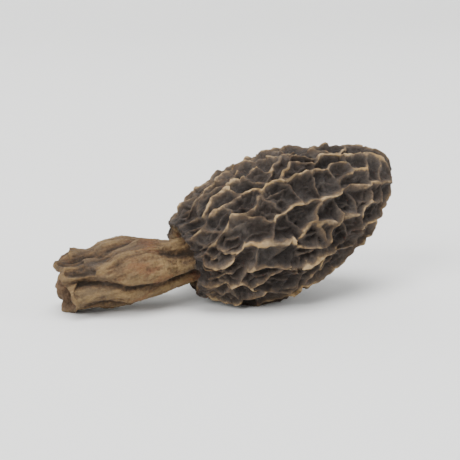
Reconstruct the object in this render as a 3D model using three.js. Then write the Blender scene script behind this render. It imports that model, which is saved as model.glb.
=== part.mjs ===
// A dried morel mushroom lying on its side: a cap of pits and ridges grown in one piece with a folded stem,
// hollow from the cut end of the stem to the tip of the cap.
// Millimetres, +Z up, the stem towards -X and the tip of the cap towards +X, resting on the plane Z = 0.
import * as THREE from "three";

// Driving dimensions
const CAP_LENGTH = 25;
const CAP_RADIUS = 8.5;
const STEM_LENGTH = 13.5;
const STEM_RADIUS = 3.85;
const PIT_DEPTH = 1.8;
const WALL = 1;

// How it lies: the slope of its axis where the stem meets the cap, how much the axis bends upwards from
// end to end, how it sagged flatter as it dried, and how deep what touches the ground is pressed flat.
const SLOPE = THREE.MathUtils.degToRad(13.5);
const BEND = THREE.MathUtils.degToRad(22);
const SAG_ACROSS = 1.04;
const SAG_UP = 0.94;
const FLAT_DEPTH = 0.6;

// The slow buckles of the shrunken body, as waves
const BUCKLES = [
  { wavelength: 17, phase: 0.4, size: 0.55 },
  { wavelength: 8, phase: 2.2, size: 0.22 },
];

// The net of ridges: one pit round each seed, longer along the cap than round it, and smaller at the rim and
// the tip. A ridge stands between two neighbouring pits. Ridges that run across are lower, and a share of
// them all stay low, where pits grew together.
const PITS = 180;
const PIT_STRETCH = 1.45;
const SEED_JITTER = 0.8;
const TURN_JITTER = 0.09;
const END_ZONE = 0.12;
const END_CROWD = 0.7;
const NET_SWAYS = [
  { wavelength: 6.5, phase: 0.3, size: 0.5 },
  { wavelength: 2.6, phase: 1.9, size: 0.1 },
];
const RIDGE_WIDTH = 0.6;
const CROSS_DROP = 0.35;
const LOW_SHARE = 0.15;
const LOW_DROP = 0.6;
const CREST_WAVE = { wavelength: 3.4, phase: 0.9, size: 0.16 };
const NEIGHBOURS = 4;

// Where the pits deepen from the rim on, as a share of the outline, and how they grow shallow to the tip
const RIM_RISE = 0.125;
const TIP_START = 0.72;
const TIP_FADE = 0.6;

// The folds that run along the shrunken stem, and the share of their depth that the lining shows
const FOLDS = 6;
const FOLD_WIDTH = 0.9;
const FOLD_DEPTH = 0.62;
const FOLD_SWAY = 0.07;
const FOLD_THROUGH = 0.7;

// How far apart the points of the mesh lie on the outside and on the lining, and how far each is pulled
// towards the nearest crest, so that the ridges get unbroken edges
const SKIN_STEP = 0.54;
const LINING_STEP = 1.45;
const CREST_PULL = 0.15;

const AXIS_LENGTH = STEM_LENGTH + CAP_LENGTH;
const CAVITY_RADIUS = CAP_RADIUS - PIT_DEPTH - WALL;
const FULL_TURN = 2 * Math.PI;
const GOLDEN_TURN = (3 - Math.sqrt(5)) / 2;

// The outside from the cut end of the stem to the tip of the cap: how far along the axis from where the
// stem meets the cap, and how far out from it. The cap's rim curls back over the top of the stem.
const skinOutline = outlineThrough([
  [-STEM_LENGTH, 0.8 * STEM_RADIUS],
  [-0.76 * STEM_LENGTH, 0.85 * STEM_RADIUS],
  [-0.5 * STEM_LENGTH, STEM_RADIUS],
  [-0.27 * STEM_LENGTH, 0.92 * STEM_RADIUS],
  [-0.05 * STEM_LENGTH, 0.7 * STEM_RADIUS],
  [0.008 * CAP_LENGTH, 0.36 * CAP_RADIUS],
  [-0.024 * CAP_LENGTH, 0.52 * CAP_RADIUS],
  [0.02 * CAP_LENGTH, 0.69 * CAP_RADIUS],
  [0.12 * CAP_LENGTH, 0.87 * CAP_RADIUS],
  [0.26 * CAP_LENGTH, 0.98 * CAP_RADIUS],
  [0.42 * CAP_LENGTH, CAP_RADIUS],
  [0.58 * CAP_LENGTH, 0.92 * CAP_RADIUS],
  [0.74 * CAP_LENGTH, 0.74 * CAP_RADIUS],
  [0.88 * CAP_LENGTH, 0.5 * CAP_RADIUS],
  [0.97 * CAP_LENGTH, 0.25 * CAP_RADIUS],
  [CAP_LENGTH, 0],
]);
const RIM = shareOfPoint(skinOutline, 5);

// The lining of the hollow, from the same cut end
const liningOutline = outlineThrough([
  [-STEM_LENGTH, 0.8 * STEM_RADIUS - WALL],
  [-0.76 * STEM_LENGTH, 0.85 * STEM_RADIUS - WALL],
  [-0.5 * STEM_LENGTH, STEM_RADIUS - WALL],
  [-0.27 * STEM_LENGTH, 0.92 * STEM_RADIUS - WALL],
  [0.02 * CAP_LENGTH, 0.72 * STEM_RADIUS - WALL],
  [0.12 * CAP_LENGTH, 0.65 * CAVITY_RADIUS],
  [0.26 * CAP_LENGTH, 0.96 * CAVITY_RADIUS],
  [0.42 * CAP_LENGTH, CAVITY_RADIUS],
  [0.58 * CAP_LENGTH, 0.88 * CAVITY_RADIUS],
  [0.74 * CAP_LENGTH, 0.58 * CAVITY_RADIUS],
  [0.84 * CAP_LENGTH, 0.28 * CAVITY_RADIUS],
  [0.87 * CAP_LENGTH, 0],
]);

THREE.MathUtils.seededRandom(7);
const draw = () => THREE.MathUtils.seededRandom();
const seeds = scatterSeeds();
const folds = drawFolds();

const material = new THREE.MeshStandardMaterial({ color: "#6b5640", roughness: 0.9, metalness: 0 });
const morel = new THREE.Mesh(closedSurface(morelRings()), material);
morel.name = "morel";

const specimen = new THREE.Group();
specimen.add(morel);
export default specimen;

function outlineThrough(points) {
  const outline = new THREE.SplineCurve(points.map(([along, out]) => new THREE.Vector2(along, out)));
  outline.arcLengthDivisions = 2000;
  return outline;
}

// The share of an outline's length at which it passes the point it was drawn through with this number.
function shareOfPoint(outline, number) {
  const lengths = outline.getLengths();
  const divisions = lengths.length - 1;
  const at = Math.round((number / (outline.points.length - 1)) * divisions);
  return lengths[at] / lengths[divisions];
}

// Seeds for the pits, spread over the cap by the golden angle with a seeded jitter, denser at the rim and
// the tip.
function scatterSeeds() {
  const samples = 400;
  const crowd = [0];
  const denser = (away) => Math.exp(-((away / END_ZONE) ** 2));
  for (let i = 1; i <= samples; i += 1) {
    const share = THREE.MathUtils.lerp(RIM, 1, i / samples);
    const density = 1 + END_CROWD * (denser(share - RIM) + denser(1 - share));
    crowd.push(crowd[i - 1] + skinOutline.getPointAt(share).y * density);
  }
  const list = [];
  for (let i = 0; i < PITS; i += 1) {
    const rank = Math.min(i + 0.5 + 2 * SEED_JITTER * (draw() - 0.5), PITS);
    const wanted = (rank / PITS) * crowd[samples];
    const after = Math.max(
      1,
      crowd.findIndex((total) => total >= wanted),
    );
    const part = (wanted - crowd[after - 1]) / (crowd[after] - crowd[after - 1]);
    const share = THREE.MathUtils.lerp(RIM, 1, (after - 1 + Math.max(0, part)) / samples);
    const turn = i * GOLDEN_TURN + TURN_JITTER * (draw() - 0.5);
    list.push(onOutline(skinOutline, share, turn).point);
  }
  return list;
}

function drawFolds() {
  return Array.from({ length: FOLDS }, (_, i) => ({
    turn: (i + 0.5 * draw()) / FOLDS,
    width: FOLD_WIDTH * (0.75 + 0.5 * draw()),
    depth: FOLD_DEPTH * (0.6 + 0.6 * draw()),
    sway: FULL_TURN * draw(),
  }));
}

// A point of the body before it is laid down, with its axis along X, and the directions out from the
// surface and along it towards the tip.
function onOutline(outline, share, turn) {
  const at = outline.getPointAt(share);
  const way = outline.getTangentAt(share);
  const across = Math.cos(FULL_TURN * turn);
  const up = Math.sin(FULL_TURN * turn);
  return {
    point: new THREE.Vector3(at.x, SAG_ACROSS * at.y * across, SAG_UP * at.y * up),
    outward: new THREE.Vector3(-way.y, way.x * across, way.x * up),
    along: new THREE.Vector3(way.x, way.y * across, way.y * up),
  };
}

// A smooth uneven value between -1 and 1 that changes over about a wavelength: three crossing sines.
function wave(point, wavelength, phase) {
  const k = FULL_TURN / wavelength;
  const { x, y, z } = point;
  return (
    (Math.sin(k * (0.9 * x + 0.3 * y + 0.2 * z) + phase) +
      Math.sin(1.31 * k * (-0.4 * x + 0.8 * y + 0.5 * z) + 2.1 * phase + 1) +
      Math.sin(0.77 * k * (0.2 * x - 0.6 * y + 0.75 * z) + 3.7 * phase + 2)) /
    3
  );
}

// The same as a vector, up to a size in millimetres.
function drift(point, { wavelength, phase, size }) {
  return new THREE.Vector3(
    size * wave(point, wavelength, phase),
    size * wave(point, wavelength, phase + 1.7),
    size * wave(point, wavelength, phase + 3.4),
  );
}

// The net round a point of the cap: how high it stands there, from 0 on the floor of a pit to 1 on a crest,
// and the way to the nearest crest. Distances along the cap count for less, which makes the pits long.
function netAt({ point, along }) {
  const place = point.clone();
  NET_SWAYS.forEach((sway) => place.add(drift(point, sway)));
  const near = seeds
    .map((seed, number) => {
      const way = seed.clone().sub(place);
      way.addScaledVector(along, (1 / PIT_STRETCH - 1) * way.dot(along));
      return { number, way, reach: way.lengthSq() };
    })
    .sort((a, b) => a.reach - b.reach)
    .slice(0, NEIGHBOURS);
  const [own, ...others] = near;
  const ridges = others.map((other) => {
    const apart = other.way.clone().sub(own.way);
    const toCrest = apart.clone().normalize();
    const lean = toCrest.dot(along);
    toCrest.addScaledVector(along, (1 / PIT_STRETCH - 1) * lean);
    const gap = (other.reach - own.reach) / (2 * apart.length() * toCrest.length());
    const full = staysLow(own.number, other.number) ? 1 - LOW_DROP : 1;
    const height = full * (1 - CROSS_DROP * lean ** 2) * Math.exp(-((gap / RIDGE_WIDTH) ** 2));
    return { height, way: toCrest.setLength(gap) };
  });
  return { height: Math.max(...ridges.map((ridge) => ridge.height)), toCrest: ridges[0].way };
}

// Whether the ridge between two numbered pits is one of those that stay low, by a lot fixed for each pair.
function staysLow(one, other) {
  const lots = 97;
  const lot = (73 * Math.min(one, other) + 151 * Math.max(one, other)) % lots;
  return lot / lots > 1 - LOW_SHARE;
}

// How deep the folds are at a place on the stem.
function foldDepth(share, turn) {
  const depths = folds.map((fold) => {
    const line = fold.turn + FOLD_SWAY * Math.sin((4 * share) / RIM + fold.sway);
    const gap = Math.abs(turn - line - Math.round(turn - line)) * FULL_TURN * STEM_RADIUS;
    return fold.depth * Math.exp(-((gap / fold.width) ** 2));
  });
  return Math.max(...depths);
}

// Lays the straight body along its bent axis and gives it the slow buckles of a shrunken wall.
function layDown(point) {
  const arc = AXIS_LENGTH / BEND;
  const lean = SLOPE + point.x / arc;
  const laid = new THREE.Vector3(
    arc * (Math.sin(lean) - Math.sin(SLOPE)) - point.z * Math.sin(lean),
    point.y,
    arc * (Math.cos(SLOPE) - Math.cos(lean)) + point.z * Math.cos(lean),
  );
  return BUCKLES.reduce((moved, buckle) => moved.add(drift(moved, buckle)), laid);
}

// A place on the cap, as share and turn, pulled towards the nearest crest.
function pulledPlace(share, turn) {
  const place = onOutline(skinOutline, share, turn);
  const { toCrest } = netAt(place);
  const step = toCrest.clampLength(0, CREST_PULL);
  const sideways = place.along.clone().cross(place.outward).dot(step);
  const radius = skinOutline.getPointAt(share).y;
  return [share + step.dot(place.along) / skinOutline.getLength(), turn + sideways / (FULL_TURN * radius)];
}

// A point of the outside, from a share of the outline and a turn round the axis.
function skinPoint(startShare, startTurn) {
  const isCap = startShare > RIM && startShare < 1;
  const [share, turn] = isCap ? pulledPlace(startShare, startTurn) : [startShare, startTurn];
  const place = onOutline(skinOutline, share, turn);
  const onCap = THREE.MathUtils.smoothstep(share, RIM, RIM + RIM_RISE);
  const fade = 1 - TIP_FADE * THREE.MathUtils.smoothstep(share, TIP_START, 1);
  const { wavelength, phase, size } = CREST_WAVE;
  const crest = 1 - size * (0.5 + 0.5 * wave(place.point, wavelength, phase));
  const pits = PIT_DEPTH * onCap * fade * (netAt(place).height * crest - 1);
  const folded = (1 - onCap) * foldDepth(share, turn);
  return layDown(place.point.addScaledVector(place.outward, pits - folded));
}

// A point of the lining, which follows the folds of the stem less deep.
function liningPoint(share, turn) {
  const place = onOutline(liningOutline, share, turn);
  const { x } = place.point;
  const inStem = 1 - THREE.MathUtils.smoothstep(x, -0.2 * STEM_LENGTH, 0);
  const stemShare = (RIM * (x + STEM_LENGTH)) / STEM_LENGTH;
  const folded = FOLD_THROUGH * inStem * foldDepth(stemShare, turn);
  return layDown(place.point.addScaledVector(place.outward, -folded));
}

// Rings of points along an outline, from its first point to its end on the axis, about a step apart both
// ways. The last ring is a single point.
function ringsAlong(outline, step, pointAt) {
  const count = Math.round(outline.getLength() / step);
  return Array.from({ length: count + 1 }, (_, i) => {
    const share = i / count;
    const around = Math.max(1, Math.round((FULL_TURN * outline.getPointAt(share).y) / step));
    return Array.from({ length: around }, (_, j) => pointAt(share, j / around));
  });
}

// All rings in one walk: from the tip over the outside to the cut end of the stem, round its edge and up
// the inside. What would be below the ground is pressed flat on it.
function morelRings() {
  const outside = ringsAlong(skinOutline, SKIN_STEP, skinPoint).reverse();
  const inside = ringsAlong(liningOutline, LINING_STEP, liningPoint);
  const rings = [...outside, ...inside];
  const box = new THREE.Box3().setFromPoints(rings.flat());
  const middle = box.getCenter(new THREE.Vector3());
  for (const point of rings.flat()) {
    point.sub(new THREE.Vector3(middle.x, middle.y, box.min.z + FLAT_DEPTH));
    point.z = Math.max(point.z, 0);
  }
  return rings;
}

// The band of triangles between two rings, each going once round with any number of points. Each step
// takes the shorter of the two possible edges, which lets edges follow the crests, as long as neither ring
// gets more than a step ahead.
function band(near, far) {
  const corners = [];
  const rings = [near, far];
  const place = [0, 0];
  const last = rings.map((ring) => (ring.length === 1 ? 0 : ring.length));
  while (place[0] < last[0] || place[1] < last[1]) {
    const here = rings.map((ring, side) => ring[place[side] % ring.length]);
    const next = rings.map((ring, side) => ring[(place[side] + 1) % ring.length]);
    const lead = place[0] / near.length - place[1] / far.length;
    const allowed = 1 / Math.min(near.length, far.length);
    const shorter = next[0].distanceTo(here[1]) < next[1].distanceTo(here[0]) ? 0 : 1;
    const within = Math.abs(lead) < allowed ? shorter : Number(lead > 0);
    const side = place[within] < last[within] ? within : 1 - within;
    corners.push(here[0], here[1], next[side]);
    place[side] += 1;
  }
  return corners;
}

function closedSurface(rings) {
  const corners = rings.slice(1).flatMap((ring, i) => band(rings[i], ring));
  return new THREE.BufferGeometry().setFromPoints(corners);
}
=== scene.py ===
import math

import bpy
import numpy as np
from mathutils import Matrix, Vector


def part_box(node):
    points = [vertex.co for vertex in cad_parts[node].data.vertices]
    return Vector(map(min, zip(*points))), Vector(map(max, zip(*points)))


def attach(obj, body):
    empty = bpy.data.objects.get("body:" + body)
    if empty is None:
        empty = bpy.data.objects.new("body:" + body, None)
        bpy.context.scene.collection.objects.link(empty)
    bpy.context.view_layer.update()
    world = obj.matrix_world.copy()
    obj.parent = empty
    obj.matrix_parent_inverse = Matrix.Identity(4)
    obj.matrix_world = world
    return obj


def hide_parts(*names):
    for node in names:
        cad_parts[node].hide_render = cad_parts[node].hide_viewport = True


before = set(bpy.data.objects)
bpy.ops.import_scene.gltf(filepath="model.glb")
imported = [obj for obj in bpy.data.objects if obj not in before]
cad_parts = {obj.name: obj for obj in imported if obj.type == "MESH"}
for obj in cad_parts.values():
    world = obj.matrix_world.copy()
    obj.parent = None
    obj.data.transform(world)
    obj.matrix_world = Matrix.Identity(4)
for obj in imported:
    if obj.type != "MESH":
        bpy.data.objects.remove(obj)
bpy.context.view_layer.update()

MM = 0.001
FULL_TURN = 2 * math.pi
GOLDEN_TURN = (3 - math.sqrt(5)) / 2

# Driving dimensions of the body
CAP_LENGTH = 25
CAP_RADIUS = 8.5
STEM_LENGTH = 13.5
STEM_RADIUS = 3.85
PIT_DEPTH = 1.8
WALL = 1
CAVITY_RADIUS = CAP_RADIUS - PIT_DEPTH - WALL

# How it lies: the slope of its axis where the stem meets the cap, how much the axis bends from end to end,
# how the body sagged flatter as it dried, and how deep what touches the ground is pressed flat
SLOPE = math.radians(13.5)
BEND = math.radians(22)
SAG_ACROSS = 1.04
SAG_UP = 0.94
FLAT_DEPTH = 0.55

# The slow buckles of the shrunken body, and the crumpling on top of them. These and all waves below are given
# as wavelength and phase, and then the size where they have their own.
BUCKLES = [(17, 0.4, 0.55), (8, 2.2, 0.22)]
CRUMPLE = (3.1, 5.2, 0.14)

# The net of ridges: one pit round each seed, longer along the cap than round it, and smaller at the rim and
# the tip. The ridges wind, and those that run across are lower. A share of them all stays low, by a lot that
# the numbers of the two neighbouring pits draw.
SEED = 7
PITS = 180
PIT_STRETCH = 1.45
SEED_JITTER = 0.8
TURN_JITTER = 0.09
END_ZONE = 0.12
END_CROWD = 0.7
NET_SWAYS = [(6.5, 0.3, 0.5), (2.6, 1.9, 0.1), (2.3, 4.4, 0.2), (1.1, 3.3, 0.09)]
CROSS_DROP = 0.35
LOW_SHARE = 0.15
LOW_DROP = 0.6
LOTS = 97
LOT_STRIDES = (73, 151)
NEIGHBOURS = 4

# A ridge across its length: a thin wall, fluted up its sides, on a broad foot
WALL_WIDTH = 0.3
WALL_SHARPNESS = 3
WALL_FLUTES = (0.9, 1.4, 0.4)
FOOT_WIDTH = 0.95
FOOT_SHARE = 0.34

# How the crests are worn and lean over, how the floors wrinkle, where the pits deepen from the rim on, as a
# share of the outline, and how they grow shallow to the tip
CREST_FULLNESS = 0.17
CREST_WAVES = [(3.4, 0.9, 0.16), (2.3, 5.2, 0.26), (1.5, 4.1, 0.24), (0.7, 2.6, 0.12)]
CREST_LEANS = [(4.2, 0.8, 0.54), (1.9, 2.7, 0.24)]
FLOOR_WRINKLES = [(1.5, 0.2, 0.2), (0.8, 1.1, 0.1)]
RIM_RISE = 0.09
TIP_START = 0.72
TIP_FADE = 0.6

# Low ribs that part the pits further, a second and finer net, higher in some patches and towards the rim
RIBS = 560
RIB_SIZE = 0.62
RIB_HEIGHT = 0.5
RIB_SPREAD = 0.25
RIB_PATCHES = (8.5, 2.8)
RIB_CROWD = 0.28
RIB_CROWD_START = 0.72

# How the points of the mesh are drawn to the crests: how far, how far away the pull is strongest and where it
# fades out, and how it keeps clear of the rim, the tip and the axis
PULL = 0.22
PULL_REACH = 0.8
PULL_FADE = (1.5, 0.8)
PULL_RIM_EDGE = 0.02
PULL_TIP_EDGE = 0.97
LEAST_RADIUS = 1

# The folds that run along the shrunken stem. Each has its own place, width and depth: a least share of the
# usual one, and how much more it can get. The lining shows a share of their depth as far as the neck.
FOLDS = 6
FOLD_JITTER = 0.5
FOLD_WIDTH = 0.9
FOLD_WIDTHS = (0.75, 0.5)
FOLD_DEPTH = 0.62
FOLD_DEPTHS = (0.6, 0.6)
FOLD_SWAY = 0.07
FOLD_WINDING = 4
FOLD_THROUGH = 0.7
NECK_LENGTH = 0.2 * STEM_LENGTH

# The finer wrinkles along the stem, its dents, and how much fuller it stands to make up for them
STEM_WRINKLES = [(2.2, 0.6, 0.28), (1.1, 2.9, 0.16), (0.6, 1.7, 0.07)]
STEM_WRINKLE_STRETCH = 7
STEM_DENTS = (3.2, 4.4, 0.14)
STEM_FULLNESS = 0.3

# The cut end of the stem: lobes, a torn edge that is drawn back, and the rounded lip between skin and lining
BASE_ZONE = 0.12
BASE_LOBES = (4.2, 2.2, 0.85)
TORN_EDGE = (2.7, 1.2, 0.85)
TORN_BACK = 0.45
LIP_RINGS = 6
LIP_BULGE = 0.3
LIP_WAVES = (1.3, 0.7, 0.6)
# how much the lip is darkened, through the same term as the stem's painted crease shade
LIP_SHADE = 0.3

# How far apart the points of the mesh lie on the outside and on the lining, how finely an outline is sampled,
# and how many distances from points to seeds are held at once
SKIN_STEP = 0.129
LINING_STEP = 0.45
OUTLINE_STEPS = 4000
DISTANCES_AT_ONCE = 3600000

# The fine relief of drying: how often a granule's radius goes into their spacing, up to what height the
# relief is eased so that what lies on the ground stays flat, and where on the thin crests the creases grow
# shallow, and down to what share
GRANULE_SLIMNESS = 2.2
EASED_BELOW = 0.3
THIN_CREST = (0.5, 0.9)
CREASE_ON_CREST = 0.2

# Colours from dark to light, each with its place on the scale of tone, and the seed of the pits' own tones
# the cap's scale runs from pit floor to crest: its dark end is partly painted shade, its light end partly
# painted highlight
CAP_SHADES = [
    (0.0, "#211c19"), (0.26, "#2e2824"), (0.53, "#413932"),
    (0.73, "#5a4c3d"), (0.86, "#7d684e"), (1.0, "#aa916a"),
]
# the stem's dark end is reached where the painted crease shade lowers its tone
STEM_SHADES = [(0.16, "#2e2318"), (0.3, "#463524"), (0.43, "#5b462f"), (0.54, "#6c573b"), (0.74, "#876f4b")]
LINING_SHADES = [(0.35, "#453629"), (0.65, "#6f5741")]
PIT_TONE_SEED = 11


# Shape of the body

def outline_through(points):
    """A smooth outline through points along and out from the axis, as lengths run and places passed."""
    points = np.array(points, float)
    spans = len(points) - 1
    t = np.linspace(0, spans, OUTLINE_STEPS + 1)
    start = np.minimum(t.astype(int), spans - 1)
    part = (t - start)[:, None]
    before, here, there, after = (points[np.clip(start + k, 0, spans)] for k in (-1, 0, 1, 2))
    leave, arrive = (there - before) / 2, (after - here) / 2
    places = (
        (2 * here - 2 * there + leave + arrive) * part**3
        + (3 * there - 3 * here - 2 * leave - arrive) * part**2
        + leave * part
        + here
    )
    run = np.concatenate([[0], np.cumsum(np.linalg.norm(np.diff(places, axis=0), axis=1))])
    return run, places


# The outside from the cut end of the stem to the tip of the cap: how far along the axis from where the stem
# meets the cap, and how far out from it. The cap's rim curls back over the top of the stem.
SKIN_POINTS = [
    [-STEM_LENGTH, 0.8 * STEM_RADIUS],
    [-0.76 * STEM_LENGTH, 0.85 * STEM_RADIUS],
    [-0.5 * STEM_LENGTH, STEM_RADIUS],
    [-0.27 * STEM_LENGTH, 0.92 * STEM_RADIUS],
    [-0.05 * STEM_LENGTH, 0.7 * STEM_RADIUS],
    [0.008 * CAP_LENGTH, 0.36 * CAP_RADIUS],
    [-0.024 * CAP_LENGTH, 0.52 * CAP_RADIUS],
    [0.02 * CAP_LENGTH, 0.69 * CAP_RADIUS],
    [0.12 * CAP_LENGTH, 0.87 * CAP_RADIUS],
    [0.26 * CAP_LENGTH, 0.98 * CAP_RADIUS],
    [0.42 * CAP_LENGTH, CAP_RADIUS],
    [0.58 * CAP_LENGTH, 0.92 * CAP_RADIUS],
    [0.74 * CAP_LENGTH, 0.74 * CAP_RADIUS],
    [0.88 * CAP_LENGTH, 0.5 * CAP_RADIUS],
    [0.97 * CAP_LENGTH, 0.25 * CAP_RADIUS],
    [CAP_LENGTH, 0],
]
SKIN_OUTLINE = outline_through(SKIN_POINTS)
# The share of the outside's length at which the cap begins: the narrow place under its rim
RIM_POINT = 5
RIM = SKIN_OUTLINE[0][RIM_POINT * OUTLINE_STEPS // (len(SKIN_POINTS) - 1)] / SKIN_OUTLINE[0][-1]

# The lining of the hollow, from the same cut end
LINING_OUTLINE = outline_through([
    [-STEM_LENGTH, 0.8 * STEM_RADIUS - WALL],
    [-0.76 * STEM_LENGTH, 0.85 * STEM_RADIUS - WALL],
    [-0.5 * STEM_LENGTH, STEM_RADIUS - WALL],
    [-0.27 * STEM_LENGTH, 0.92 * STEM_RADIUS - WALL],
    [0.02 * CAP_LENGTH, 0.72 * STEM_RADIUS - WALL],
    [0.12 * CAP_LENGTH, 0.65 * CAVITY_RADIUS],
    [0.26 * CAP_LENGTH, 0.96 * CAVITY_RADIUS],
    [0.42 * CAP_LENGTH, CAVITY_RADIUS],
    [0.58 * CAP_LENGTH, 0.88 * CAVITY_RADIUS],
    [0.74 * CAP_LENGTH, 0.58 * CAVITY_RADIUS],
    [0.84 * CAP_LENGTH, 0.28 * CAVITY_RADIUS],
    [0.87 * CAP_LENGTH, 0],
])


def smoothstep(low, high, value):
    """A soft climb from 0 to 1 as the value goes from low to high."""
    t = np.clip((value - low) / (high - low), 0, 1)
    return t * t * (3 - 2 * t)


def even_draws(seed):
    """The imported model's own row of even random numbers, so that both have the same pits and folds."""
    mask = 0xFFFFFFFF
    state = seed
    while True:
        state = (state + 0x6D2B79F5) & mask
        t = ((state ^ (state >> 15)) * (state | 1)) & mask
        t ^= (t + ((t ^ (t >> 7)) * (t | 61))) & mask
        yield ((t ^ (t >> 14)) & mask) / (mask + 1)


def on_outline(outline, share, turn):
    """Points of the straight body, and the directions out from its surface and along it to the tip."""
    run, places = outline
    reach = share * run[-1]
    along, out = (np.interp(reach, run, places[:, k]) for k in (0, 1))
    nudge = run[-1] * 1e-3
    ahead, behind = np.clip(reach + nudge, 0, run[-1]), np.clip(reach - nudge, 0, run[-1])
    way = np.stack([
        np.interp(ahead, run, places[:, k]) - np.interp(behind, run, places[:, k]) for k in (0, 1)
    ])
    way /= np.linalg.norm(way, axis=0)
    across, up = np.cos(FULL_TURN * turn), np.sin(FULL_TURN * turn)
    point = np.stack([along, SAG_ACROSS * out * across, SAG_UP * out * up], -1)
    outward = np.stack([-way[1], way[0] * across, way[0] * up], -1)
    forward = np.stack([way[0], way[1] * across, way[1] * up], -1)
    return point, outward, forward


def wave(point, wavelength, phase):
    """A smooth uneven value between -1 and 1: three crossing sines."""
    k = FULL_TURN / wavelength
    x, y, z = point[..., 0], point[..., 1], point[..., 2]
    return (
        np.sin(k * (0.9 * x + 0.3 * y + 0.2 * z) + phase)
        + np.sin(1.31 * k * (-0.4 * x + 0.8 * y + 0.5 * z) + 2.1 * phase + 1)
        + np.sin(0.77 * k * (0.2 * x - 0.6 * y + 0.75 * z) + 3.7 * phase + 2)
    ) / 3


def drift(point, wavelength, phase, size):
    """How far a wave of the given size moves a point, each way on its own."""
    return size * np.stack([wave(point, wavelength, phase + lag) for lag in (0, 1.7, 3.4)], -1)


def creases(point, waves):
    """How high the sharp creases of several waves stand together."""
    return sum(size * np.abs(wave(point, wavelength, phase)) for wavelength, phase, size in waves)


def scatter_seeds(draws, count):
    """Seeds over the cap, spread by the golden angle, denser at the rim and the tip."""
    samples = 400
    shares = RIM + (1 - RIM) * np.arange(1, samples + 1) / samples
    radii = np.interp(shares * SKIN_OUTLINE[0][-1], SKIN_OUTLINE[0], SKIN_OUTLINE[1][:, 1])
    near_rim = np.exp(-(((shares - RIM) / END_ZONE) ** 2))
    near_tip = np.exp(-(((1 - shares) / END_ZONE) ** 2))
    density = 1 + END_CROWD * (near_rim + near_tip)
    crowd = np.concatenate([[0], np.cumsum(radii * density)])
    seeds = []
    for i in range(count):
        rank = min(i + 0.5 + 2 * SEED_JITTER * (next(draws) - 0.5), count)
        wanted = rank / count * crowd[-1]
        share = RIM + (1 - RIM) * np.interp(wanted, crowd, np.arange(samples + 1)) / samples
        turn = i * GOLDEN_TURN + TURN_JITTER * (next(draws) - 0.5)
        seeds.append(on_outline(SKIN_OUTLINE, np.array([share]), np.array([turn]))[0][0])
    return np.array(seeds)


def draw_folds(draws):
    """Turn, width, depth and sway of each fold of the stem."""
    return [
        (
            (i + FOLD_JITTER * next(draws)) / FOLDS,
            FOLD_WIDTH * (FOLD_WIDTHS[0] + FOLD_WIDTHS[1] * next(draws)),
            FOLD_DEPTH * (FOLD_DEPTHS[0] + FOLD_DEPTHS[1] * next(draws)),
            FULL_TURN * next(draws),
        )
        for i in range(FOLDS)
    ]


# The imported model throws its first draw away, and the ribs, which only stand here, are drawn last
DRAWS = even_draws(SEED)
next(DRAWS)
SEEDS = scatter_seeds(DRAWS, PITS)
STEM_FOLDS = draw_folds(DRAWS)
RIB_SEEDS = scatter_seeds(DRAWS, RIBS)


def stays_low(one, other):
    """Whether the ridge between two numbered pits is one of those that stay low."""
    lot = (LOT_STRIDES[0] * np.minimum(one, other) + LOT_STRIDES[1] * np.maximum(one, other)) % LOTS
    return lot / LOTS > 1 - LOW_SHARE


def net_at(point, forward, seeds, size=1):
    """How high a net stands, 0 on a floor and 1 on a crest, the pit's number and the way to the crest."""
    height = np.zeros(len(point))
    pit = np.zeros(len(point), int)
    to_crest = np.zeros(point.shape)
    batch = DISTANCES_AT_ONCE // len(seeds)
    flutes = 1 + WALL_FLUTES[2] * wave(point, *WALL_FLUTES[:2])
    for first in range(0, len(point), batch):
        part = slice(first, first + batch)
        way = seeds[None] - point[part, None]
        ahead = forward[part, None]
        way += (1 / PIT_STRETCH - 1) * (way * ahead).sum(-1, keepdims=True) * ahead
        reach = (way**2).sum(-1)
        near = np.argpartition(reach, NEIGHBOURS - 1, axis=1)[:, :NEIGHBOURS]
        near = np.take_along_axis(near, np.argsort(np.take_along_axis(reach, near, 1), axis=1), 1)
        reach = np.take_along_axis(reach, near, 1)
        way = np.take_along_axis(way, near[..., None], 1)
        own = near[:, 0]
        for k in range(1, NEIGHBOURS):
            apart = way[:, k] - way[:, 0]
            length = np.linalg.norm(apart, axis=1)
            lean = (apart * forward[part]).sum(-1) / length
            across = apart / length[:, None]
            across += ((1 / PIT_STRETCH - 1) * lean)[:, None] * forward[part]
            slant = np.linalg.norm(across, axis=1)
            gap = (reach[:, k] - reach[:, 0]) / (2 * length * slant)
            full = np.where(stays_low(own, near[:, k]), 1 - LOW_DROP, 1)
            wall = (1 - FOOT_SHARE) / (1 + (gap / (size * WALL_WIDTH * flutes[part])) ** WALL_SHARPNESS)
            foot = FOOT_SHARE * np.exp(-((gap / (size * FOOT_WIDTH)) ** 2))
            ridge = full * (1 - CROSS_DROP * lean**2) * (wall + foot)
            height[part] = np.maximum(height[part], ridge)
            if k == 1:
                to_crest[part] = across * (gap / slant)[:, None]
        pit[part] = own
    return height, pit, to_crest


def swayed(point):
    """Moves places before the net is read there, so that its ridges wind."""
    moved = point
    for sway in NET_SWAYS:
        moved = moved + drift(point, *sway)
    return moved


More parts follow.
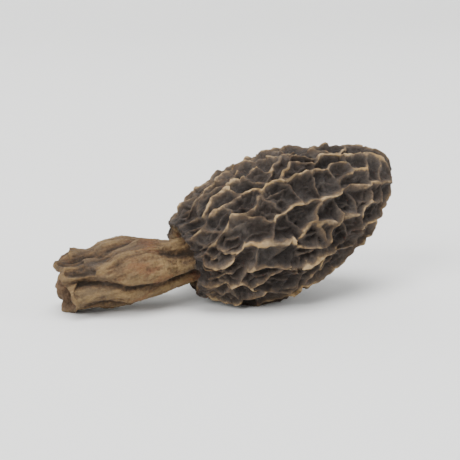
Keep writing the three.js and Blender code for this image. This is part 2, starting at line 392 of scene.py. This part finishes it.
def drawn_to_crests(share, turn):
    """Moves the points of the cap towards the nearest crest, so that the steep walls get more of them."""
    point, outward, forward = on_outline(SKIN_OUTLINE, share, turn)
    to_crest = net_at(swayed(point), forward, SEEDS)[2]
    gap = np.linalg.norm(to_crest, axis=1) + 1e-9
    pull = PULL * gap / PULL_REACH * np.exp((1 - (gap / PULL_REACH) ** 2) / 2)
    pull *= (
        smoothstep(*PULL_FADE, gap)
        * smoothstep(RIM, RIM + PULL_RIM_EDGE, share)
        * smoothstep(1, PULL_TIP_EDGE, share)
    )
    step = to_crest * (pull / gap)[:, None]
    ahead = (step * forward).sum(-1)
    sideways = (step * np.cross(forward, outward)).sum(-1)
    radius = np.maximum(np.hypot(point[:, 1], point[:, 2]), LEAST_RADIUS)
    return share + ahead / SKIN_OUTLINE[0][-1], turn + sideways / (FULL_TURN * radius)


def fold_depth(share, turn):
    """How deep the folds of the stem are, each winding a little as it runs along."""
    depth = np.zeros(len(share))
    for middle, width, deep, sway in STEM_FOLDS:
        away = turn - middle - FOLD_SWAY * np.sin(FOLD_WINDING * share / RIM + sway)
        gap = np.abs(away - np.round(away)) * FULL_TURN * STEM_RADIUS
        depth = np.maximum(depth, deep * np.exp(-((gap / width) ** 2)))
    return depth


def lay_down(point):
    """Lays the straight body along its bent axis and gives it its slow buckles."""
    arc = (STEM_LENGTH + CAP_LENGTH) / BEND
    lean = SLOPE + point[:, 0] / arc
    laid = np.stack([
        arc * (np.sin(lean) - math.sin(SLOPE)) - point[:, 2] * np.sin(lean),
        point[:, 1],
        arc * (math.cos(SLOPE) - np.cos(lean)) + point[:, 2] * np.cos(lean),
    ], -1)
    for buckle in BUCKLES:
        laid = laid + drift(laid, *buckle)
    return laid


def stem_base(point, outward, forward, share):
    """The cut end of the stem, drawn into lobes and torn uneven as it dried."""
    near_end = smoothstep(BASE_ZONE, 0, share)[:, None]
    lobes = BASE_LOBES[2] * wave(point, *BASE_LOBES[:2])[:, None] * outward
    torn = TORN_EDGE[2] * (TORN_BACK + wave(point, *TORN_EDGE[:2]))[:, None] * forward
    return near_end * (lobes + torn)


def net_height(point, forward, share):
    """How high the net and the low ribs stand together, and the pit's number."""
    height, pit, _ = net_at(swayed(point), forward, SEEDS)
    rib_height = RIB_HEIGHT + RIB_SPREAD * wave(point, *RIB_PATCHES)
    rib_height = rib_height + RIB_CROWD * smoothstep(RIB_CROWD_START, RIM, share)
    ribs = rib_height * net_at(swayed(point), forward, RIB_SEEDS, RIB_SIZE)[0]
    return np.maximum(height, ribs), pit


def cap_relief(point, height, on_cap, share):
    """How far the cap's surface stands out, from the uneven crests down to the wrinkled floors."""
    worn = 1 + CREST_FULLNESS
    for wavelength, phase, size in CREST_WAVES:
        worn = worn - size * (0.5 + 0.5 * wave(point, wavelength, phase))
    fade = 1 - TIP_FADE * smoothstep(TIP_START, 1, share)
    floor = creases(point, FLOOR_WRINKLES)
    return on_cap * fade * (PIT_DEPTH * (height * worn - 1) + floor * (1 - height))


def crest_lean(point, outward, height, on_cap):
    """How far the crests lean over to one side or the other, never in or out."""
    lean = sum(drift(point, *wavy) for wavy in CREST_LEANS)
    lean = (on_cap * height**2)[:, None] * lean
    lean -= (lean * outward).sum(-1, keepdims=True) * outward
    return lean


def stem_wrinkle(point):
    """How deep the fine wrinkles and the dents of the stem are."""
    stretched = (point + drift(point, *STEM_DENTS)) / np.array([STEM_WRINKLE_STRETCH, 1, 1])
    wrinkle = creases(stretched, STEM_WRINKLES)
    return wrinkle + STEM_DENTS[2] * np.maximum(0, wave(point, *STEM_DENTS[:2]))


def skin(share, turn):
    """The outside: points, crest height, how far on the cap, fold depth and pit number."""
    share, turn = drawn_to_crests(share, turn)
    point, outward, forward = on_outline(SKIN_OUTLINE, share, turn)
    on_cap = smoothstep(RIM, RIM + RIM_RISE, share)
    height, pit = net_height(point, forward, share)
    fold = fold_depth(share, turn) + stem_wrinkle(point)
    relief = cap_relief(point, height, on_cap, share) - (1 - on_cap) * (fold - STEM_FULLNESS)
    lean = crest_lean(point, outward, height, on_cap)
    crumple = drift(point, *CRUMPLE)
    point = point + relief[:, None] * outward + lean + crumple + stem_base(point, outward, forward, share)
    return lay_down(point), height, on_cap, fold, pit


def lining(share, turn):
    """The wall of the hollow, with the same five values as the outside."""
    point, outward, forward = on_outline(LINING_OUTLINE, share, turn)
    in_stem = 1 - smoothstep(-NECK_LENGTH, 0, point[:, 0])
    stem_share = RIM * (point[:, 0] + STEM_LENGTH) / STEM_LENGTH
    fold = fold_depth(stem_share, turn)
    point = point - (FOLD_THROUGH * in_stem * fold)[:, None] * outward + drift(point, *CRUMPLE)
    point = point + stem_base(point, outward, forward, share)
    nothing = np.zeros(len(share))
    return lay_down(point), nothing, nothing, fold, nothing.astype(int)


def lip(share, turn):
    """The rounded edge at the cut end; share runs from the outside to the lining."""
    nothing = np.zeros(len(share))
    outside, inside = skin(nothing, turn)[0], lining(nothing, turn)[0]
    blend = share[:, None]
    across = (1 - blend) * outside + blend * inside
    bulge = LIP_BULGE * 4 * share * (1 - share) * (1 + LIP_WAVES[2] * wave(across, *LIP_WAVES[:2]))
    back = np.array([-math.cos(SLOPE), 0, -math.sin(SLOPE)])
    # the lip's darkening goes in as a fold depth, into the stem's painted crease shade
    shade = np.full(len(share), LIP_SHADE)
    return across + bulge[:, None] * back, nothing, nothing, shade, nothing.astype(int)


def ring_places(outline, step):
    """Shares, turns and ring sizes along an outline from its first point to its end on the axis."""
    run, places = outline
    count = round(run[-1] / step)
    shares = np.arange(count + 1) / count
    radii = np.interp(shares * run[-1], run, places[:, 1])
    around = np.maximum(1, np.round(FULL_TURN * radii / step).astype(int))
    turns = np.concatenate([np.arange(n) / n for n in around])
    return np.repeat(shares, around), turns, around


def band(first_near, near, first_far, far):
    """The triangles between two rings of points, each going once round."""
    if near == 1:
        turned = first_far + (np.arange(far) + 1) % far
        return np.stack([np.full(far, first_near), first_far + np.arange(far), turned], 1)
    if far == 1:
        turned = first_near + (np.arange(near) + 1) % near
        return np.stack([first_near + np.arange(near), np.full(near, first_far), turned], 1)
    ends = np.concatenate([(np.arange(near) + 1) / near, (np.arange(far) + 1) / far])
    order = np.argsort(ends, kind="stable")
    on_near = order < near
    i = np.cumsum(on_near) - on_near
    j = np.cumsum(~on_near) - ~on_near
    step = np.where(on_near, first_near + (i + 1) % near, first_far + (j + 1) % far)
    return np.stack([first_near + i % near, first_far + j % far, step], 1)


def body_surface():
    """One walk of rings from the tip over the outside, round the lip of the stem and up the inside."""
    share, turn, around = ring_places(SKIN_OUTLINE, SKIN_STEP)
    walk = np.concatenate(np.split(np.arange(len(share)), np.cumsum(around)[:-1])[::-1])
    outside = [values[walk] for values in skin(share, turn)]
    share, turn, around_in = ring_places(LINING_OUTLINE, LINING_STEP)
    inside = lining(share, turn)
    around_lip = np.round(np.linspace(around[0], around_in[0], LIP_RINGS + 2)[1:-1]).astype(int)
    share = np.repeat(np.arange(1, LIP_RINGS + 1) / (LIP_RINGS + 1), around_lip)
    edge = lip(share, np.concatenate([np.arange(n) / n for n in around_lip]))
    fields = [np.concatenate(three) for three in zip(outside, edge, inside)]
    sizes = np.concatenate([around[::-1], around_lip, around_in])
    starts = np.concatenate([[0], np.cumsum(sizes)[:-1]])
    bands = [
        band(starts[k], sizes[k], starts[k + 1], sizes[k + 1])
        for k in range(len(sizes) - 1)
    ]
    is_inside = np.concatenate([np.zeros(len(walk)), share, np.ones(len(inside[0]))])
    return fields, is_inside, np.concatenate(bands)


def settle(points):
    """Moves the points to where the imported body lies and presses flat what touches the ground."""
    low, high = (np.array(corner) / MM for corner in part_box("morel"))
    to_tip = high[0] - points[:, 0].max()
    to_middle = (low[1] + high[1] - points[:, 1].min() - points[:, 1].max()) / 2
    points = points + np.array([to_tip, to_middle, -points[:, 2].min() - FLAT_DEPTH])
    points[:, 2] = np.maximum(points[:, 2], 0)
    return points


def make_body():
    """The body as one mesh, with what the relief and the colours follow stored on its points."""
    (points, crest, on_cap, fold, pit), is_inside, faces = body_surface()
    points = settle(points)
    mesh = bpy.data.meshes.new("morel_body")
    mesh.from_pydata((points * MM).tolist(), [], faces.tolist())
    mesh.shade_smooth()
    lots = np.random.default_rng(PIT_TONE_SEED).random(PITS)
    for name, values in (
        ("crest", crest * on_cap),
        ("on_cap", on_cap),
        ("fold", fold),
        ("inside", is_inside),
        ("pit_tone", lots[pit]),
    ):
        layer = mesh.attributes.new(name, "FLOAT", "POINT")
        layer.data.foreach_set("value", values.astype(np.float32))
    body = bpy.data.objects.new("morel_body", mesh)
    bpy.context.scene.collection.objects.link(body)
    return body


# Node helpers

def linear(hex_colour):
    """An sRGB hex value as a linear colour with full alpha."""
    parts = [int(hex_colour[k:k + 2], 16) / 255 for k in (1, 3, 5)]
    return tuple(c / 12.92 if c <= 0.04045 else ((c + 0.055) / 1.055) ** 2.4 for c in parts) + (1,)


def add(tree, kind, links=(), **settings):
    """Adds a node with its settings. The links give an input's name or number and what goes in, which is a
    value, a socket, or a node that stands for its first output in use."""
    node = tree.nodes.new(kind)
    for name, value in settings.items():
        setattr(node, name, value)
    for socket, value in dict(links).items():
        if isinstance(value, bpy.types.Node):
            value = next(output for output in value.outputs if output.enabled)
        if isinstance(value, bpy.types.NodeSocket):
            tree.links.new(value, node.inputs[socket])
        else:
            node.inputs[socket].default_value = value
    return node


# The fine relief that drying leaves all over the surface

def drying_relief(material):
    """Fine creases and mealy granules of named sizes all over, and how hollow each place is, in mm, kept for
    painted shade.
    """
    tree = bpy.data.node_groups.new("drying_relief", "GeometryNodeTree")
    sizes = {
        "Wrinkle length": 0.65 * MM,
        "Wrinkle depth": 0.13 * MM,
        "Granule spacing": 0.42 * MM,
        "Granule height on stem": 0.085 * MM,
        "Granule height on cap": 0.035 * MM,
    }
    face = tree.interface
    face.new_socket("Geometry", in_out="INPUT", socket_type="NodeSocketGeometry")
    for name in sizes:
        face.new_socket(name, in_out="INPUT", socket_type="NodeSocketFloat")
    face.new_socket("Hollow reach", in_out="INPUT", socket_type="NodeSocketInt")
    face.new_socket("Geometry", in_out="OUTPUT", socket_type="NodeSocketGeometry")
    given = add(tree, "NodeGroupInput").outputs
    place = add(tree, "GeometryNodeInputPosition")
    normal = add(tree, "GeometryNodeInputNormal")
    crest, on_cap, inside = (
        add(tree, "GeometryNodeInputNamedAttribute", {"Name": name}, data_type="FLOAT")
        for name in ("crest", "on_cap", "inside")
    )

    # creases: the noise strays by about a quarter from its middle, so four times that fills their depth
    noise = add(tree, "ShaderNodeTexNoise", {
        "Vector": place,
        "Scale": add(tree, "ShaderNodeMath", {0: 1, 1: given["Wrinkle length"]}, operation="DIVIDE"),
        "Detail": 2.5,
        "Roughness": 0.6,
        "Distortion": 0.6,
    })
    strayed = add(tree, "ShaderNodeMath", {0: noise, 1: 0.5}, operation="SUBTRACT")
    strayed = add(tree, "ShaderNodeMath", {0: strayed}, operation="ABSOLUTE")
    strayed = add(tree, "ShaderNodeMath", {0: strayed, 1: 4}, operation="MULTIPLY")
    creased = add(tree, "ShaderNodeMath", {0: strayed, 1: given["Wrinkle depth"]}, operation="MULTIPLY")
    # the crests are too thin to be creased as deep as the rest
    sturdy = add(tree, "ShaderNodeMapRange", {
        0: crest, 1: THIN_CREST[0], 2: THIN_CREST[1], 3: 1, 4: CREASE_ON_CREST,
    })
    creased = add(tree, "ShaderNodeMath", {0: creased, 1: sturdy}, operation="MULTIPLY")

    # granules: a small dome in each cell, on the outside only
    cells = add(tree, "ShaderNodeTexVoronoi", {
        "Vector": place,
        "Scale": add(tree, "ShaderNodeMath", {0: 1, 1: given["Granule spacing"]}, operation="DIVIDE"),
        "Randomness": 1,
    })
    dome = add(tree, "ShaderNodeMath", {0: cells, 1: GRANULE_SLIMNESS}, operation="MULTIPLY")
    dome = add(tree, "ShaderNodeMath", {0: 1, 1: dome}, operation="SUBTRACT")
    dome = add(tree, "ShaderNodeMath", {0: dome, 1: 0}, operation="MAXIMUM")
    height = add(tree, "ShaderNodeMix", {
        0: on_cap, 2: given["Granule height on stem"], 3: given["Granule height on cap"],
    }, data_type="FLOAT")
    granule = add(tree, "ShaderNodeMath", {0: dome, 1: height}, operation="MULTIPLY")
    outside = add(tree, "ShaderNodeMath", {0: 1, 1: inside}, operation="SUBTRACT")
    granule = add(tree, "ShaderNodeMath", {0: granule, 1: outside}, operation="MULTIPLY")

    rise = add(tree, "ShaderNodeMath", {0: granule, 1: creased}, operation="SUBTRACT")
    up = add(tree, "ShaderNodeSeparateXYZ", {0: place}).outputs[2]
    clear = add(tree, "ShaderNodeMath", {0: up, 1: 1 / (EASED_BELOW * MM)}, operation="MULTIPLY")
    clear = add(tree, "ShaderNodeMath", {0: clear, 1: 1}, operation="MINIMUM")
    rise = add(tree, "ShaderNodeMath", {0: rise, 1: clear}, operation="MULTIPLY")
    lifted = add(tree, "GeometryNodeSetPosition", {
        "Geometry": given["Geometry"],
        "Offset": add(tree, "ShaderNodeVectorMath", {0: normal, "Scale": rise}, operation="SCALE"),
    })

    # how hollow a place is: how far out the evened surface lies from it, which the colours darken as painted
    # shade
    evened = add(tree, "GeometryNodeBlurAttribute", {
        "Value": place, "Iterations": given["Hollow reach"], "Weight": 1,
    }, data_type="FLOAT_VECTOR")
    away = add(tree, "ShaderNodeVectorMath", {0: evened, 1: place}, operation="SUBTRACT")
    sunk_for_shade = add(tree, "ShaderNodeVectorMath", {0: away, 1: normal}, operation="DOT_PRODUCT")
    marked = add(tree, "GeometryNodeStoreNamedAttribute", {
        "Geometry": lifted,
        "Name": "hollow",
        "Value": add(tree, "ShaderNodeMath", {0: sunk_for_shade, 1: 1 / MM}, operation="MULTIPLY"),
    }, data_type="FLOAT", domain="POINT")
    real = add(tree, "GeometryNodeRealizeInstances", {"Geometry": marked})
    done = add(tree, "GeometryNodeSetMaterial", {"Geometry": real, "Material": material})
    add(tree, "NodeGroupOutput", {"Geometry": done})
    return tree, {**sizes, "Hollow reach": 24}


def grow_relief(body, material):
    """Runs the tree on the body and keeps the result as a plain mesh."""
    tree, sizes = drying_relief(material)
    modifier = body.modifiers.new("drying_relief", "NODES")
    modifier.node_group = tree
    for socket in tree.interface.items_tree:
        if socket.in_out == "INPUT" and socket.name in sizes:
            modifier[socket.identifier] = sizes[socket.name]
    relieved = body.evaluated_get(bpy.context.evaluated_depsgraph_get())
    mesh = bpy.data.meshes.new_from_object(relieved)
    body.modifiers.remove(modifier)
    body.data = mesh
    mesh.name = "morel_body"


# Materials

def dried_flesh():
    """Air-dried fungus flesh: matt and finely granular, tan on the crests and dark in the pits, partly with
    painted highlight and painted shade.
    """
    material = bpy.data.materials.new("dried_morel_flesh")
    material.use_nodes = True
    tree = material.node_tree
    shader = tree.nodes["Principled BSDF"]
    place = add(tree, "ShaderNodeTexCoord").outputs["Object"]
    along_stem = add(
        tree, "ShaderNodeVectorRotate", {"Vector": place, "Angle": SLOPE}, rotation_type="Y_AXIS"
    )
    crest, on_cap, fold, inside, pit_tone, hollow = (
        add(tree, "ShaderNodeAttribute", attribute_name=name).outputs["Fac"]
        for name in ("crest", "on_cap", "fold", "inside", "pit_tone", "hollow")
    )

    def speckle(size_mm, detail=3.0, along=1):
        """Uneven flecks of a real size, drawn out along the stem where they change more slowly that way."""
        where = place
        if along != 1:
            where = add(tree, "ShaderNodeMapping", {"Vector": along_stem, "Scale": (along, 1, 1)})
        return add(tree, "ShaderNodeTexNoise", {
            "Vector": where, "Scale": 1000 / size_mm, "Detail": detail, "Roughness": 0.6,
        })

    def patches(flecks, low, high, within=1):
        """Soft-edged patches where the flecks are strong, within a share of the surface."""
        strong = add(
            tree, "ShaderNodeMapRange", {0: flecks, 1: low, 2: high}, interpolation_type="SMOOTHSTEP"
        )
        return add(tree, "ShaderNodeMath", {0: strong, 1: within}, operation="MULTIPLY")

    def weighed(start, *parts):
        """A tone made of several fields, each with its weight."""
        for part, weight in parts:
            start = add(tree, "ShaderNodeMath", {0: part, 1: weight, 2: start}, operation="MULTIPLY_ADD")
        return start

    def stained(colour, *stains):
        """Lays stains over a colour: where each is, how strong it is and its own colour."""
        for where, strength, stain in stains:
            part = add(tree, "ShaderNodeMath", {0: where, 1: strength}, operation="MULTIPLY")
            colour = add(tree, "ShaderNodeMix", {0: part, 6: colour, 7: linear(stain)}, data_type="RGBA")
        return colour

    # pits: charcoal brown on the floor, warmer up the walls, tan on the crests; partly own colour, partly
    # painted shade and highlight
    fine, middling, broad = speckle(0.28), speckle(0.75, 4.0), speckle(2.2)
    # painted shade: the tone is lowered where the surface lies hollow
    height = weighed(-0.99, (crest, 1), (fine, 0.25), (middling, 0.6), (broad, 0.95), (hollow, -0.45))
    # stem: ochre skin streaked along its length, with painted shade darkening it where it lies sunk and in
    # its folds
    sunk_for_shade = add(tree, "ShaderNodeMath", {0: hollow, 1: -0.07}, operation="MAXIMUM")
    fibre, streak = speckle(0.42, 3.0, 0.1), speckle(1.2, 4.0, 0.2)
    tone = weighed(-0.15, (fibre, 0.55), (streak, 0.5), (sunk_for_shade, -1.3), (speckle(0.25), 0.3), (fold, -0.22))
    cavity = weighed(0, (speckle(0.9), 0.7), (speckle(0.3), 0.3))
    shades = []
    for value, stops in ((height, CAP_SHADES), (tone, STEM_SHADES), (cavity, LINING_SHADES)):
        scale = add(tree, "ShaderNodeValToRGB", {"Fac": value})
        elements = scale.color_ramp.elements
        while len(elements) < len(stops):
            elements.new(0.5)
        for element, (position, colour) in zip(elements, stops):
            element.position = position
            element.color = linear(colour)
        shades.append(scale)
    cap, stem, cavity = shades

    # the crests are golden in places and dull as if scorched in others, dust lies here and there, and no two
    # pits are quite the same
    cap = stained(
        cap,
        (patches(speckle(4.2), 0.5, 0.66, patches(height, 0.7, 0.9)), 0.55, "#a07f4a"),
        (patches(speckle(2.3), 0.5, 0.68), 0.3, "#5e5853"),
        (patches(speckle(3.2), 0.45, 0.6, patches(height, 0.35, 0.75)), 0.7, "#43362a"),
        (pit_tone, 0.22, "#4a3d33"),
    )
    # the stem is rusty and ashen in places, and its foot carries a little dark earth
    along = add(tree, "ShaderNodeSeparateXYZ", {0: place}).outputs[0]
    foot = patches(along, -8 * MM, -18 * MM)
    stem = stained(
        stem,
        (patches(speckle(2.2, 3.0, 0.4), 0.55, 0.68), 0.4, "#6a3a22"),
        (patches(speckle(2.9, 4.0, 0.45), 0.54, 0.7), 0.45, "#564b40"),
        (patches(speckle(1.3, 4.0, 0.5), 0.44, 0.64, foot), 0.65, "#40372f"),
    )
    colour = add(tree, "ShaderNodeMix", {0: patches(on_cap, 0, 0.35), 6: stem, 7: cap}, data_type="RGBA")
    colour = add(tree, "ShaderNodeMix", {0: patches(inside, 0.5, 1), 6: colour, 7: cavity}, data_type="RGBA")
    tree.links.new(colour.outputs[2], shader.inputs["Base Color"])
    for name, value in (
        ("Roughness", 0.8),
        ("Specular IOR Level", 0.3),
        ("Subsurface Weight", 0.08),
        ("Subsurface Radius", (1.0, 0.45, 0.2)),
        ("Subsurface Scale", 0.3 * MM),
    ):
        shader.inputs[name].default_value = value
    # the real grain is finer, about 0.05 mm, and is drawn coarser here so that it shows
    grain = weighed(0, (speckle(0.4), 1), (speckle(0.15), 0.4))
    bump = add(tree, "ShaderNodeBump", {"Strength": 1, "Distance": 0.32 * MM, "Height": grain})
    tree.links.new(bump.outputs["Normal"], shader.inputs["Normal"])
    return material


def plain_matt(name, colour):
    """A matt paper sheet: one even colour without any gloss."""
    material = bpy.data.materials.new(name)
    material.use_nodes = True
    shader = material.node_tree.nodes["Principled BSDF"]
    shader.inputs["Base Color"].default_value = linear(colour)
    shader.inputs["Roughness"].default_value = 0.9
    return material


# Stage

def make_floor():
    """A pale sheet that lies flat and curves up far behind, so that no edge shows."""
    half_width, front, reach, rise, top, steps = 1.5, -1.5, 0.5, 0.6, 2.5, 24
    profile = [(front, 0.0)]
    for k in range(steps + 1):
        turn = math.pi / 2 * k / steps
        profile.append((reach + rise * math.sin(turn), rise * (1 - math.cos(turn))))
    profile.append((reach + rise, top))
    points = [(x, y, z) for y, z in profile for x in (-half_width, half_width)]
    faces = [(2 * k, 2 * k + 1, 2 * k + 3, 2 * k + 2) for k in range(len(profile) - 1)]
    mesh = bpy.data.meshes.new("floor")
    mesh.from_pydata(points, [], faces)
    mesh.shade_smooth()
    mesh.materials.append(plain_matt("matt_floor", "#efefed"))
    floor = bpy.data.objects.new("floor", mesh)
    bpy.context.scene.collection.objects.link(floor)


def aim(thing, place, target):
    """Puts a light or the camera in its place and turns it to a target."""
    thing.location = place
    thing.rotation_euler = (Vector(target) - Vector(place)).to_track_quat("-Z", "Y").to_euler()
    bpy.context.scene.collection.objects.link(thing)


def soft_light(name, place, size, power):
    """A square soft box that points at the middle of the body."""
    light = bpy.data.lights.new(name, "AREA")
    light.size = size
    light.energy = power
    middle = (0, 0, 0.008)
    aim(bpy.data.objects.new(name, light), place, middle)


def make_light():
    """Large soft boxes, far enough away to light the floor evenly, and a faint sky."""
    soft_light("overhead", (-0.1, -0.3, 1.6), 1.1, 32)
    soft_light("left_box", (-1.2, -0.9, 0.9), 0.7, 26)
    soft_light("right_box", (1.3, -0.7, 0.7), 0.8, 8)
    world = bpy.data.worlds.new("studio")
    bpy.context.scene.world = world
    world.use_nodes = True
    sky = world.node_tree.nodes["Background"]
    sky.inputs["Color"].default_value = linear("#f4f6f9")
    sky.inputs["Strength"].default_value = 0.65


def make_camera():
    """A long lens a little above the floor, turned as the photograph sees the body."""
    azimuth, elevation = math.radians(-18), math.radians(12)
    distance = 0.135
    back = Vector((
        math.sin(azimuth) * math.cos(elevation),
        -math.cos(azimuth) * math.cos(elevation),
        math.sin(elevation),
    ))
    target = Vector((0.0, 0.0, 0.0075))
    camera = bpy.data.cameras.new("camera")
    camera.lens = 100
    camera.clip_start = 0.005
    viewer = bpy.data.objects.new("camera", camera)
    aim(viewer, target + back * distance, target)
    bpy.context.scene.camera = viewer


make_camera()
make_floor()
make_light()
body = make_body()
grow_relief(body, dried_flesh())
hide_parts("morel")
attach(body, "root")
bpy.context.scene.view_settings.view_transform = "AgX"
